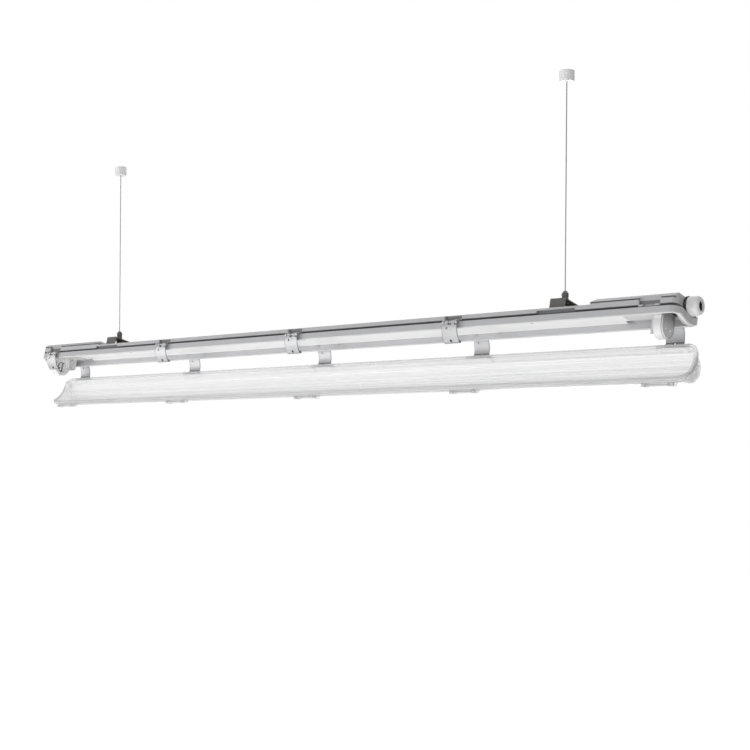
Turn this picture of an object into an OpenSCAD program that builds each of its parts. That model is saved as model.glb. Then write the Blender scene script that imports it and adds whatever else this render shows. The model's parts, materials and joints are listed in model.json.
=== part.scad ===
// Hanging shop light: a sealed fitting for one 1200 mm tube, open for a lamp change.
// It hangs on two steel wires. The clear cover hangs from the clips of the far side.
// X runs along the fitting, -Y is the near side, +Z is up, and Z = 0 is the ceiling.
// The fitting's own frame has its Z = 0 on the sealing face under the canopy.

/* [Canopy] */
// Length of the canopy over its end rims
canopy_length = 1272; // [1240:1:1400]
// Width of the canopy over its rims
canopy_width = 62; // [62:1:66]
// Clear width inside the canopy
opening_width = 49; // [48:0.5:49]
// Thickness of the canopy wall and roof
canopy_wall = 2; // [1.8:0.1:2.2]
// Height of the rim that holds the seal
rim_height = 8.5; // [8:0.1:9]
// Height of the shadow groove over the rim
groove_height = 1.7; // [1.4:0.1:2]
// Height of the upper band
band_height = 6.8; // [6.5:0.1:7.2]
// How far the upper band stands back from the rim
band_inset = 1; // [0.5:0.1:1.5]
// Height of the middle roof over the sealing face
roof_height = 21.5; // [21:0.1:21.8]
// Width of the flat of the middle roof
roof_flat = 36; // [34:1:38]
// Height of the raised roof at both ends
rise_height = 25.8; // [25.7:0.1:27.5]
// Width of the flat of the raised roof
rise_flat = 46; // [44:1:48]
// Height of the raised roof's shoulders
rise_shoulder = 20; // [19:0.5:21]
// Length of the raised roof at the left end
left_rise = 158; // [130:1:164]
// Length of the raised roof at the right end
right_rise = 120; // [90:1:130]
// Length of the ramp that leads up to a raised roof
ramp_length = 7; // [5:1:12]
// Step from the rim's end back to the end wall
end_step = 6; // [5:0.5:7]
// Thickness of the end walls
end_wall = 3; // [2.5:0.5:3.5]
// Corner radius of the rim in plan
corner_radius = 16; // [12:1:20]
// Radius of the curve of both ends in plan
end_radius = 122; // [100:1:200]
// Depth of the curved dip in the rim at both ends
end_dip = 6; // [4:0.5:8]
// Width of the curved dip
end_dip_width = 42; // [38:1:44]

/* [Seal] */
// Width of the seal
seal_width = 2.8; // [2.4:0.1:3]
// Depth of the channel that holds the seal
seal_channel = 2.4; // [2:0.1:2.8]
// How far the free seal stands proud of the rim
seal_proud = 0.6; // [0.4:0.1:0.8]

/* [Gear tray] */
// Height of the tray over the sealing face
tray_height = 7.6; // [7:0.1:8.5]
// Thickness of the tray sheet
tray_sheet = 0.8; // [0.6:0.1:1]
// Rise of the tray between its folded edges
tray_rise = 1; // [0.9:0.1:1.6]
// Width of the raised middle of the tray
tray_flat = 30; // [26:1:34]
// Place of the left end of the tray
tray_left = -548; // [-560:1:-520]
// Place of the right end of the tray
tray_right = 536; // [500:1:550]

/* [Lamp holders] */
// Distance between the two faces that the tube fits between
tube_length = 1199.4; // [1190:0.1:1210]
// Diameter of the tube that fits
tube_diameter = 26; // [25:0.5:26.5]
// Depth of the tube's axis under the sealing face
tube_depth = 8.5; // [8:0.1:9.5]
// How far the tube sits towards the left end
tube_shift = 5.5; // [0:0.5:6]
// Radius of the round end of a lamp holder
holder_radius = 15.5; // [15:0.1:16]
// Thickness of a lamp holder along the tube
holder_thickness = 10; // [9:0.5:11]
// Radius of the turning rotor
rotor_radius = 7.7; // [7.5:0.1:8]
// Distance between the two lamp pins
pin_spacing = 12.7; // [12.5:0.1:13]

/* [Clips] */
// Distance between neighbouring clips
clip_pitch = 297; // [280:1:300]
// Width of a clip
clip_width = 25.5; // [25:0.5:26]
// Thickness of the clip sheet
clip_sheet = 0.9; // [0.8:0.05:1]
// Distance from a clip's upper axis to its lower axis
clip_reach = 26.6; // [26:0.1:27.5]
// Outward bulge of a clip
clip_bulge = 2.6; // [2.2:0.1:2.8]
// Distance of the links' pivots from the middle of the fitting
pivot_offset = 29.4; // [29.3:0.1:29.6]
// Height of the links' pivots over the sealing face
pivot_height = 10.3; // [10.2:0.1:10.6]
// Distance of a clip's upper axis from the middle of the fitting
knuckle_offset = 34.6; // [34.5:0.1:34.8]
// Height of a clip's upper axis over the sealing face
knuckle_height = 6.2; // [6:0.1:6.4]
// Radius of the pins that the clips turn on
pin_radius = 1.5; // [1.4:0.05:1.55]

/* [Cover] */
// How far the cover's rim stands back from the canopy's rim
cover_setback = 1; // [0.8:0.1:1.2]
// Outer radius of the cover's round trough
trough_radius = 25.5; // [25:0.1:25.8]
// Depth of the trough's centre line under the rim
trough_drop = 1.5; // [1.2:0.1:2]
// Thickness of the cover
cover_wall = 1.8; // [1.6:0.1:2]
// Number of prism ribs across the inside of the cover
prism_count = 40; // [20:2:44]
// Depth of a prism rib
prism_depth = 0.5; // [0.3:0.1:0.6]
// Length without ribs at each end
plain_end = 26; // [20:1:32]
// Radius of the bars that the clips hold
bar_radius = 1.4; // [1.3:0.05:1.45]
// Depth of those bars under the rim
bar_depth = 5; // [4.8:0.1:5.2]
// Distance of those bars from the middle of the cover
bar_offset = 32.4; // [32.3:0.1:32.5]
// Depth of the ledges that the shut clips catch
ledge_depth = 7; // [6.5:0.1:7.5]

/* [Cable gland] */
// Height of the gland's axis over the sealing face
gland_height = 15; // [14.9:0.1:15]
// Radius of the gland's thread
gland_thread = 7.6; // [7.5:0.05:7.7]
// Radius of the gland's cap
gland_cap_radius = 12.3; // [12:0.1:12.6]
// Length of the gland's cap
gland_cap_length = 14.4; // [14.2:0.2:18]
// Radius of the cable hole in the cap
gland_hole = 6.4; // [6:0.1:6.6]

/* [Suspension] */
// Distance between the two wires
wire_spacing = 908; // [860:1:920]
// Drop from the ceiling to the axis on which the fitting tilts
wire_drop = 306; // [250:1:900]
// Radius of the wires
wire_radius = 0.75; // [0.6:0.05:0.8]
// Width of a suspension bracket along the fitting
bracket_width = 23; // [22:1:26]
// Height of a suspension bracket's top over the sealing face
bracket_height = 33.5; // [33:0.1:35]
// Radius of the round head that a wire gripper hangs from
ball_radius = 5.5; // [5.3:0.1:5.6]
// Radius of a wire gripper
gripper_radius = 4.5; // [4.2:0.1:4.8]
// Length of a wire gripper
gripper_length = 11; // [10.5:0.5:14]
// Radius of a ceiling cup
cup_radius = 10; // [9:0.5:12]
// Height of a ceiling cup with its base
cup_height = 14; // [13:0.5:18]

/* [Hanging pose] */
// Tilt of the fitting with its cover open
fitting_tilt = 13; // [12:0.5:14]
// Angle of the open cover from level
cover_open = 52; // [50:0.5:56]
// Lean of the loaded clips from upright
far_clip_lean = 5; // [4:0.5:8]
// Lean of the free clips from upright
near_clip_lean = 11; // [9:0.5:14]

/* [Hidden] */
$fn = 48;

// Ratios and counts
half = 0.5;
full_turn = 360;
right_angle = 90;
clip_count = 5;
hex_sides = 6;
middle_clip = 2;

// Clearances
overrun = 1;
running_gap = 0.07;
loose_gap = 0.3;

// Canopy sizes worked out from the driving ones
rim_half = canopy_width * half;
opening_half = opening_width * half;
wall_outer = opening_half + canopy_wall;
band_half = rim_half - band_inset;
groove_top = rim_height + groove_height;
band_top = groove_top + band_height;
canopy_half = canopy_length * half;
wall_end = canopy_half - end_step;
cavity_half = wall_end - end_wall;
dip_half = end_dip_width * half;
dip_radius = (dip_half * dip_half + end_dip * end_dip) / (2 * end_dip);
dip_centre = dip_radius - end_dip;
dip_steps = 16;
cavity_radius = 6;
seal_middle = (rim_half + opening_half) * half;

// Recesses and snaps of the canopy
recess_width = 32;
recess_slant = 2;
window_width = 58;
window_top = 14.5;
window_shift = 6;
seam_bottom = 18.4;
seam_top = 19.8;
seam_depth = 1.2;
end_draft = 2;
snap_width = 6;
snap_depth = 1.2;
snap_height = 1.6;
snap_pitch = 42;
boss_radius = 4;
boss_offset = 10;
boss_pitch = 410;

// Tray sizes
tray_gap = 0.3;
tray_half = opening_half - tray_gap;
screw_head = 4.5;
screw_head_height = 2.2;
screw_slot = 1.2;
screw_slot_depth = 1.2;
screw_stem = 1.8;

// Lamp holder sizes
holder_top = tray_height;
holder_recess = 2.4;
holder_collar = 4;
rotor_depth = 6;
rotor_stand = 0.6;
slot_width = 3;
contact_width = 1;
contact_height = 12;
contact_depth = 4;
cap_radius = 14.6;
cap_thickness = 2.6;
cap_rivet = 1.3;
cap_rivet_rise = 0.6;
cap_rivet_side = 5;
cap_rivet_drop = 4;
foot_sheet = 1;
foot_gap = 0.7;
foot_width = tube_diameter + (foot_gap + foot_sheet) * 2;
foot_cheek = 19;
foot_cheek_length = 18;
foot_lap = 5;
tube_left = -tube_length * half - tube_shift;
tube_right = tube_length * half - tube_shift;

// Terminal block and leads
terminal_place = 488;
terminal_size = [30, 16, 8];
terminal_pitch = 9;
terminal_floor = tray_height + tray_rise + tray_sheet;
clamp_radius = 2;
clamp_rise = 0.8;
lead_radius = 1;
lead_side = 5;
lead_height = terminal_floor + 3;

// Clip sizes
knuckle_radius = 2.5;
knuckle_inner = 3;
knuckle_outer = 8.5;
notch_drop = 4.6;
disc_gap = 0.4;
curl_radius = bar_radius + running_gap + clip_sheet;
curl_open_start = 15;
curl_open_end = 100;
upper_hole = 1;
upper_hole_drop = 7.5;
upper_hole_side = 4.5;
lower_hole = 1.5;
lower_hole_drop = 25;
link_inner = 9.4;
link_outer = 12.2;
link_disc = 3.2;
link_eye = 1.6;
link_elbow = 2;
link_pin = 0.8;
link_gap = 0.3;
ear_inner = link_outer + link_gap;
ear_width = 1.2;
ear_radius = 1.6;
bracket_plate = 0.9;
link_offset = [pivot_offset - knuckle_offset, knuckle_height - pivot_height];

// Cover sizes
cover_rim = 2.4;
cover_length = canopy_length - cover_setback * 2;
cover_width = canopy_width - cover_setback * 2;
cover_rim_width = 5.6;
cover_tongue = 1.2;
cover_tongue_rise = 0.9;
trough_inner = trough_radius - cover_wall;
cover_depth = trough_radius + trough_drop;
cover_play = 2.5;
cover_slide = 1.5;
lug_radius = 1.8;
lug_inner = clip_width * half + cover_play;
lug_outer = 22;
lug_depth = 12;
lug_side = 29.4;

// Gland sizes
gland_bore = 5.6;
washer_radius = 13;
washer_thickness = 1.6;
gland_collar = 3;
gland_collar_flat = 11.6;
gland_thread_gap = 0.1;
locknut_flat = 8.7;
locknut_thickness = 4;
cap_thread = 9.4;
cap_thread_length = 8;
cap_wall = 2.4;
cap_round = 5;
cap_start_gap = 0.6;
gland_seal_bore = 5;
gland_seal_depth = 5;
gland_seal_radius = 8.2;

// Suspension sizes
bracket_sheet = 1.5;
bracket_shoulder = 19;
bracket_leg_bottom = 15.8;
bracket_toe = 3;
socket_radius = 4;
ball_drop = sqrt(ball_radius * ball_radius - socket_radius * socket_radius) + loose_gap;
tilt_axis = bracket_height - bracket_sheet - ball_drop;
stem_radius = 2.1;
gripper_start = 7.6;
gripper_chamfer = 0.8;
collar_radius = 2.8;
collar_length = 4;
collar_sink = 2.4;
wire_gap = 0.35;
cup_wall = 1.6;
base_height = 4;
base_radius = 7;
base_hole = 2.2;
stop_radius = 2.2;
stop_length = 4;

// Places of the moving parts, worked out in the ceiling's frame
function tilted(y, z) = [
    y * cos(fitting_tilt) + (z - tilt_axis) * sin(fitting_tilt),
    -y * sin(fitting_tilt) + (z - tilt_axis) * cos(fitting_tilt) - wire_drop];
function lowered(point, reach, lean) = [point[0] + reach * sin(lean), point[1] - reach * cos(lean)];
function clip_place(index) = (index - middle_clip) * clip_pitch;
function mirrored(points) = concat(points,
    [for (i = [len(points) - 1:-1:0]) [-points[i][0], points[i][1]]]);

far_knuckle = tilted(knuckle_offset, knuckle_height);
far_bar = lowered(far_knuckle, clip_reach, far_clip_lean);
near_knuckle = tilted(-knuckle_offset, knuckle_height);

// Extrudes a profile drawn across the fitting, centred along it
module along(length) {
    rotate([right_angle, 0, right_angle]) linear_extrude(length, center = true) children();
}

// Extrudes a profile drawn in side view, centred across the fitting
module across(width) {
    rotate([right_angle, 0, 0]) linear_extrude(width, center = true) children();
}

// Puts a piece that is drawn in the fitting's frame under the ceiling
module in_fitting() {
    translate([0, 0, -wire_drop]) rotate([-fitting_tilt, 0, 0]) translate([0, 0, -tilt_axis]) children();
}

// Puts a piece that is drawn in the closed cover's frame on the far clips
module in_cover() {
    translate([-cover_slide, far_bar[0], far_bar[1]]) rotate([cover_open, 0, 0])
        translate([0, -bar_offset, bar_depth]) children();
}

// A rounded rectangle in plan
module rounded_plan(length, width, radius) {
    square([length - 2 * radius, width], center = true);
    square([length, width - 2 * radius], center = true);
    for (x = [-1, 1], y = [-1, 1])
        translate([x * (length * half - radius), y * (width * half - radius)]) circle(radius);
}

// The same rectangle as an upright block
module plan_block(length, width, radius, bottom, top) {
    translate([0, 0, bottom]) linear_extrude(top - bottom) rounded_plan(length, width, radius);
}

// The plan of a rim with bowed ends, set in from a given length and width
module bowed_plan(length, width, inset) {
    corner = corner_radius - inset;
    corner_side = width * half - corner_radius;
    bow = end_radius - inset;
    bow_place = length * half - end_radius;
    corner_reach = sqrt((bow - corner) * (bow - corner) - corner_side * corner_side);
    corner_place = bow_place + corner_reach;
    square([corner_place * 2, width - inset * 2], center = true);
    for (x = [-1, 1], y = [-1, 1]) translate([x * corner_place, y * corner_side]) circle(corner);
    for (turn = [0, full_turn * half]) rotate(turn) translate([bow_place, 0]) intersection() {
        circle(bow);
        polygon([[0, 0], [corner_reach, corner_side] * 2, [corner_reach, -corner_side] * 2]);
    }
}

module bowed_block(length, width, inset, bottom, top) {
    translate([0, 0, bottom]) linear_extrude(top - bottom) bowed_plan(length, width, inset);
}

// Half of the sealing line across the fitting, from the side to the dip in the middle
function dip_line(drop) = concat([[dip_half, -drop]],
    [for (i = [1:dip_steps])
        let (y = dip_half * (1 - i / dip_steps))
        [y, dip_centre - sqrt(dip_radius * dip_radius - y * y) - drop]]);

// A layer between two heights that follows the sealing line
module dip_band(bottom, top) {
    line = dip_line(-top);
    polygon(mirrored(concat([for (i = [dip_steps:-1:0]) line[i]],
        [[canopy_width, top], [canopy_width, bottom]], dip_line(-bottom))));
}

// Canopy

module canopy_profile() {
    side = [[0, roof_height], [roof_flat * half, roof_height], [band_half, band_top],
        [band_half, groove_top], [wall_outer, groove_top], [wall_outer, rim_height],
        [rim_half, rim_height], [rim_half, 0]];
    polygon(mirrored(concat(side, dip_line(0))));
}

module cavity_profile() {
    slope = (roof_height - band_top) / (band_half - roof_flat * half);
    shoulder = band_top + slope * (band_half - opening_half) - canopy_wall;
    flat = roof_flat * half - canopy_wall * half;
    polygon(mirrored([[0, roof_height - canopy_wall], [flat, roof_height - canopy_wall],
        [opening_half, shoulder], [opening_half, -end_dip - overrun]]));
}

module rise_profile(inset) {
    polygon(mirrored([[0, rise_height - inset], [rise_flat * half - inset * half, rise_height - inset],
        [band_half - inset * 2, rise_shoulder - inset], [band_half - inset * 2, groove_top]]));
}

// Side view of a raised roof that starts at one place and ends at another
module rise_side(start, end, inset, draft) {
    low = roof_height - inset * 2;
    polygon([[start + inset, low], [start + ramp_length + inset, rise_height + overrun],
        [end - draft, rise_height + overrun], [end, roof_height],
        [end, groove_top], [start + inset, groove_top]]);
}

module raised_roof(start, end, inset, draft) {
    intersection() {
        along(canopy_length) rise_profile(inset);
        across(canopy_width) rise_side(start, end, inset, draft);
    }
}

module canopy_outside() {
    intersection() {
        along(canopy_length) dip_band(0, rim_height);
        bowed_block(canopy_length, canopy_width, 0, -end_dip - overrun, rim_height + overrun);
    }
    intersection() {
        along(canopy_length) canopy_profile();
        plan_block(wall_end * 2, canopy_width, corner_radius - end_step, -end_dip - overrun, rise_height);
    }
    intersection() {
        union() {
            raised_roof(wall_end - right_rise, wall_end, 0, end_draft);
            mirror([1, 0, 0]) raised_roof(wall_end - left_rise, wall_end, 0, end_draft);
        }
        plan_block(wall_end * 2, canopy_width, corner_radius - end_step, 0, rise_height + overrun);
    }
}

module canopy_inside() {
    intersection() {
        along(cavity_half * 2) cavity_profile();
        plan_block(cavity_half * 2, opening_width, cavity_radius, -end_dip - overrun, rise_height);
    }
    intersection() {
        union() {
            raised_roof(wall_end - right_rise, cavity_half, canopy_wall, 0);
            mirror([1, 0, 0]) raised_roof(wall_end - left_rise, cavity_half, canopy_wall, 0);
        }
        plan_block(cavity_half * 2, opening_width, cavity_radius, 0, rise_height);
    }
}

// The gap in the upper band that clears a clip
module band_recess(place, side) {
    low = recess_width * half - recess_slant;
    translate([place, side * (wall_outer + canopy_width * half), 0]) across(canopy_width)
        polygon([[-low, groove_top - overrun], [low, groove_top - overrun],
            [recess_width * half, rise_height], [-recess_width * half, rise_height]]);
}

// The low window in the band beside a suspension bracket, and the slot for its leg
module bracket_window(place, side) {
    leg_slot = bracket_sheet + loose_gap * 2;
    window_bottom = groove_top - overrun;
    window_middle = (window_bottom + window_top) * half;
    translate([place + window_shift, side * (wall_outer + canopy_width * half), window_middle])
        cube([window_width, canopy_width, window_top - window_bottom], center = true);
    translate([place, side * (bracket_shoulder - bracket_sheet * half), roof_height])
        cube([bracket_width + loose_gap * 2, leg_slot, canopy_wall * 4], center = true);
}

// The seam line under the shoulder of a raised roof
module roof_seam(side) {
    translate([0, side * (band_half + canopy_width * half - seam_depth), (seam_bottom + seam_top) * half])
        cube([canopy_length, canopy_width, seam_top - seam_bottom], center = true);
}

module seal_ring(width, bottom, top) {
    outset = rim_half - seal_middle - width * half;
    intersection() {
        along(canopy_length) dip_band(bottom, top);
        difference() {
            bowed_block(canopy_length, canopy_width, outset, -rim_half, rim_half);
            bowed_block(canopy_length, canopy_width, outset + width, -rim_half - overrun, rim_half + overrun);
        }
    }
}

module tray_snap(place, side) {
    translate([place, side * (opening_half - snap_depth * half), tray_height - snap_height - tray_sheet])
        cube([snap_width, snap_depth + canopy_wall * half, snap_height], center = true);
}

module tray_boss(place) {
    floor_height = tray_height + tray_rise + tray_sheet;
    translate([place, -boss_offset, floor_height])
        cylinder(h = roof_height - floor_height - canopy_wall * half, r = boss_radius);
}

module canopy() {
    color("#b2b2b4") in_fitting() difference() {
        union() {
            difference() {
                canopy_outside();
                canopy_inside();
            }
            for (index = [1:clip_count - middle_clip], side = [-1, 1], step = [0, snap_pitch])
                tray_snap(clip_place(index) + step, side);
            for (step = [-1:1]) tray_boss(step * boss_pitch);
        }
        for (index = [0:clip_count - 1], side = [-1, 1]) band_recess(clip_place(index), side);
        for (place = [-1, 1], side = [-1, 1]) bracket_window(place * wire_spacing * half, side);
        for (side = [-1, 1]) roof_seam(side);
        seal_ring(seal_width, -overrun, seal_channel);
        for (step = [-1:1]) translate([step * boss_pitch, -boss_offset, 0])
            cylinder(h = roof_height - canopy_wall, r = screw_stem);
        translate([cavity_half, 0, gland_height]) rotate([0, right_angle, 0])
            cylinder(h = end_wall * 2 + end_step, r = gland_thread + gland_thread_gap, center = true);
        translate([wall_end, 0, gland_height]) rotate([0, right_angle, 0])
            cylinder(h = end_step + overrun, r = washer_radius + loose_gap);
    }
}

module seal() {
    color("#e6e6e2") in_fitting() seal_ring(seal_width, -seal_proud, seal_channel);
}

// Gear tray

module tray_profile(rise) {
    polygon(mirrored([[0, tray_height + tray_rise + rise], [tray_flat * half, tray_height + tray_rise + rise],
        [tray_half, tray_height + rise], [tray_half, tray_height + rise - tray_sheet],
        [tray_flat * half, tray_height + tray_rise + rise - tray_sheet],
        [0, tray_height + tray_rise + rise - tray_sheet]]));
}

module gear_tray() {
    color("#fbfbfb") in_fitting() difference() {
        translate([(tray_left + tray_right) * half, 0, 0]) along(tray_right - tray_left)
            tray_profile(tray_sheet);
        for (step = [-1:1]) translate([step * boss_pitch, -boss_offset, 0])
            cylinder(h = rise_height, r = screw_stem);
    }
}

module tray_screws() {
    floor_height = tray_height + tray_rise;
    length = roof_height - canopy_wall - floor_height;
    color("#d0d0d0") in_fitting() for (step = [-1:1]) translate([step * boss_pitch, -boss_offset, 0]) {
        translate([0, 0, floor_height - screw_head_height]) difference() {
            cylinder(h = screw_head_height, r = screw_head);
            cube([screw_head * 3, screw_slot, screw_slot_depth * 2], center = true);
        }
        translate([0, 0, floor_height - overrun]) cylinder(h = length, r = screw_stem);
    }
}

// Terminal block and leads

module terminal_body() {
    translate([terminal_place, 0, terminal_floor + terminal_size[2] * half])
        cube(terminal_size, center = true);
}

module terminal_block() {
    color("#ececea") in_fitting() difference() {
        terminal_body();
        for (step = [-1:1]) translate([terminal_place + step * terminal_pitch, 0, terminal_floor])
            cylinder(h = terminal_size[2] + overrun, r = clamp_radius);
        for (side = [-1, 1]) translate([terminal_place, side * lead_side, lead_height])
            rotate([0, right_angle, 0])
                cylinder(h = terminal_size[0] + overrun, r = lead_radius, center = true);
    }
}

module terminal_clamps() {
    color("#c9a85a") in_fitting()
        for (step = [-1:1]) translate([terminal_place + step * terminal_pitch, 0, terminal_floor])
            cylinder(h = terminal_size[2] - clamp_rise, r = clamp_radius);
}

// A lead that runs along the tray and comes down on a lamp holder
module lead(start, end, side) {
    in_fitting() {
        translate([start, side * lead_side, lead_height]) rotate([0, right_angle, 0])
            cylinder(h = end - start, r = lead_radius);
        for (place = [start, end]) if (place != terminal_place - terminal_size[0] * half
            && place != terminal_place + terminal_size[0] * half)
            translate([place, side * lead_side, holder_top])
                cylinder(h = lead_height - holder_top + lead_radius, r = lead_radius);
    }
}

module lead_live() {
    color("#b03030") lead(terminal_place + terminal_size[0] * half,
        tube_right + holder_thickness * half, 1);
}

module lead_neutral() {
    color("#3050b0") lead(tube_left - holder_thickness * half,
        terminal_place - terminal_size[0] * half, -1);
}

// Lamp holders, drawn with the tube on their +X side

module holder_shape(radius) {
    translate([0, -tube_depth]) circle(radius);
    translate([-radius, -tube_depth]) square([radius * 2, holder_top + tube_depth]);
}

module holder_frame(face, turn) {
    in_fitting() translate([face, 0, 0]) rotate([0, 0, turn]) children();
}

module at_contact(side) {
    translate([-rotor_depth - contact_depth * half, side * pin_spacing * half, -tube_depth]) children();
}

module holder_body() {
    difference() {
        translate([-holder_thickness * half, 0, 0]) along(holder_thickness) holder_shape(holder_radius);
        translate([0, 0, -tube_depth]) rotate([0, right_angle, 0])
            cylinder(h = holder_recess * 2, r = holder_radius - holder_collar, center = true);
        translate([0, 0, -tube_depth]) rotate([0, right_angle, 0])
            cylinder(h = rotor_depth * 2, r = rotor_radius + running_gap, center = true);
        translate([-rotor_depth, -slot_width * half, -tube_depth - holder_radius - overrun])
            cube([rotor_depth + overrun, slot_width, holder_radius + overrun]);
        for (side = [-1, 1]) at_contact(side)
            cube([contact_depth, contact_width, contact_height], center = true);
    }
}

module holder_contacts() {
    for (side = [-1, 1]) at_contact(side)
        cube([contact_depth - loose_gap * 2, contact_width, contact_height], center = true);
}

module holder_rotor() {
    length = rotor_depth - loose_gap;
    difference() {
        translate([-rotor_depth + loose_gap, 0, -tube_depth]) rotate([0, right_angle, 0])
            cylinder(h = length - rotor_stand, r = rotor_radius);
        translate([-rotor_depth * half, 0, -tube_depth])
            cube([length, slot_width, rotor_radius * 2 + overrun], center = true);
    }
    translate([-rotor_depth + loose_gap, 0, -tube_depth]) rotate([0, right_angle, 0])
        cylinder(h = length - rotor_stand - overrun, r = pin_spacing * half - slot_width * half);
}

module holder_cap() {
    face = -holder_thickness - cap_thickness;
    translate([face + cap_thickness * half, 0, 0]) along(cap_thickness) holder_shape(cap_radius);
    for (side = [-1, 1])
        translate([face, side * cap_rivet_side, -tube_depth + side * cap_rivet_drop])
            rotate([0, right_angle, 0]) cylinder(h = cap_rivet_rise * 2, r = cap_rivet, center = true);
}

// The sheet foot that carries a lamp holder and laps under the tray, with its folded cheek
module holder_foot(side, gap) {
    back = -holder_thickness - cap_thickness;
    difference() {
        translate([back, -foot_width * half, holder_top])
            cube([gap + foot_lap - back, foot_width, foot_sheet]);
        translate([-holder_thickness * half, -lead_side, holder_top - overrun])
            cylinder(h = foot_sheet + overrun * 2, r = lead_radius + loose_gap);
    }
    translate([overrun, side * (foot_width - foot_sheet) * half - foot_sheet * half, holder_top - foot_cheek])
        cube([foot_cheek_length, foot_sheet, foot_cheek + foot_sheet]);
}

module lampholder_left() {
    color("#f2f2f0") holder_frame(tube_left, 0) holder_body();
}

module lampholder_right() {
    color("#f2f2f0") holder_frame(tube_right, full_turn * half) holder_body();
}

module rotor_left() {
    color("#e8e8e6") holder_frame(tube_left, 0) holder_rotor();
}

module rotor_right() {
    color("#e8e8e6") holder_frame(tube_right, full_turn * half) holder_rotor();
}

module contacts_left() {
    color("#c9a85a") holder_frame(tube_left, 0) holder_contacts();
}

module contacts_right() {
    color("#c9a85a") holder_frame(tube_right, full_turn * half) holder_contacts();
}

module holder_cap_left() {
    color("#a8a8a8") holder_frame(tube_left, 0) holder_cap();
}

module holder_cap_right() {
    color("#a8a8a8") holder_frame(tube_right, full_turn * half) holder_cap();
}

module holder_foot_left() {
    color("#f6f6f4") holder_frame(tube_left, 0) holder_foot(1, tray_left - tube_left);
}

module holder_foot_right() {
    color("#f6f6f4") holder_frame(tube_right, full_turn * half) holder_foot(-1, tube_right - tray_right);
}

// Cable gland, drawn along +X from the outside of the end wall

module on_gland() {
    in_fitting() translate([wall_end, 0, gland_height]) rotate([0, right_angle, 0]) children();
}

// A hexagon with its flats level, given by the distance from its middle to a flat
module hexagon(flat) {
    rotate([0, 0, right_angle]) circle(r = flat / cos(full_turn / hex_sides * half), $fn = hex_sides);
}

module gland_body() {
    root = end_wall + locknut_thickness;
    color("#c8c8c8") on_gland() difference() {
        union() {
            translate([0, 0, -root]) cylinder(h = root + washer_thickness + overrun, r = gland_thread);
            translate([0, 0, washer_thickness]) linear_extrude(gland_collar - washer_thickness)
                hexagon(gland_collar_flat);
            translate([0, 0, washer_thickness])
                cylinder(h = gland_collar - washer_thickness + cap_thread_length, r = cap_thread);
        }
        translate([0, 0, -root - overrun])
            cylinder(h = root + gland_collar + cap_thread_length + overrun * 2, r = gland_bore);
        translate([0, 0, gland_collar + cap_thread_length - gland_seal_depth])
            cylinder(h = gland_seal_depth + overrun, r = gland_seal_radius);
    }
}

module gland_washer() {
    color("#303030") on_gland() difference() {
        cylinder(h = washer_thickness, r = washer_radius);
        translate([0, 0, -overrun]) cylinder(h = washer_thickness + overrun * 2, r = gland_thread);
    }
}

module gland_locknut() {
    color("#c8c8c8") on_gland() translate([0, 0, -end_wall - locknut_thickness]) difference() {
        linear_extrude(locknut_thickness) hexagon(locknut_flat);
        translate([0, 0, -overrun]) cylinder(h = locknut_thickness + overrun * 2, r = gland_thread);
    }
}

module gland_seal() {
    bottom = gland_collar + cap_thread_length - gland_seal_depth;
    length = cap_start_gap + gland_collar + gland_cap_length - cap_wall - bottom - loose_gap;
    color("#3a3a3a") on_gland() translate([0, 0, bottom]) difference() {
        cylinder(h = length, r = gland_seal_radius);
        translate([0, 0, -overrun]) cylinder(h = length + overrun * 2, r = gland_seal_bore);
    }
}

module gland_cap() {
    inner = cap_thread + running_gap;
    round_middle = gland_cap_length - cap_round;
    color("#dcdcda") on_gland() translate([0, 0, gland_collar + cap_start_gap]) rotate_extrude()
        difference() {
            union() {
                square([gland_cap_radius, round_middle]);
                square([gland_cap_radius - cap_round, gland_cap_length]);
                translate([gland_cap_radius - cap_round, round_middle]) intersection() {
                    circle(cap_round);
                    square(cap_round);
                }
            }
            translate([0, -overrun]) square([inner, gland_cap_length - cap_wall + overrun]);
            square([gland_hole, gland_cap_length + overrun]);
        }
}

// Clip brackets, links and clips, drawn for the near side with +Y inboard

// The bracket in a recess of the canopy, with the stub pins that a link turns on
module clip_bracket() {
    reach = pivot_offset - wall_outer;
    plate_height = ear_radius * 2;
    for (end = [-1, 1]) translate([end * (ear_inner + ear_width * half), 0, 0]) {
        along(ear_width) {
            circle(ear_radius);
            translate([0, -ear_radius]) square([reach, plate_height]);
        }
        translate([-end * (link_outer - link_inner + link_gap) * half, 0, 0])
            along(link_outer - link_inner + link_gap + ear_width) circle(link_pin);
    }
    translate([0, reach - bracket_plate * half, 0])
        cube([(ear_inner + ear_width) * 2, bracket_plate, plate_height], center = true);
}

module clip_brackets() {
    color("#d6d6d8") in_fitting() for (index = [0:clip_count - 1], turn = [0, full_turn * half])
        rotate([0, 0, turn]) translate([clip_place(index), -pivot_offset, pivot_height]) clip_bracket();
}

module link_outline() {
    difference() {
        union() {
            circle(link_eye);
            translate(link_offset) circle(link_disc);
            polygon([[0, link_eye], [0, -link_eye], [-link_elbow, -link_eye], link_offset,
                link_offset + [0, link_disc]]);
        }
        circle(link_pin + running_gap);
    }
}

// Two bent arms that reach over the rim, joined by the pin that the clip turns on
module clip_link() {
    for (end = [-1, 1]) translate([end * (link_inner + link_outer) * half, 0, 0])
        along(link_outer - link_inner) link_outline();
    translate([0, link_offset[0], link_offset[1]]) along(link_inner * 2 + overrun) circle(pin_radius);
}

module clip_face() {
    middle = knuckle_radius - clip_sheet * half;
    chord = clip_reach * half;
    arc = (chord * chord + clip_bulge * clip_bulge) / (2 * clip_bulge);
    translate([arc - clip_bulge - middle, -chord]) intersection() {
        difference() {
            circle(arc + clip_sheet * half, $fn = 180);
            circle(arc - clip_sheet * half, $fn = 180);
        }
        translate([-arc - clip_sheet, -chord]) square([arc, clip_reach]);
    }
}

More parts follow.
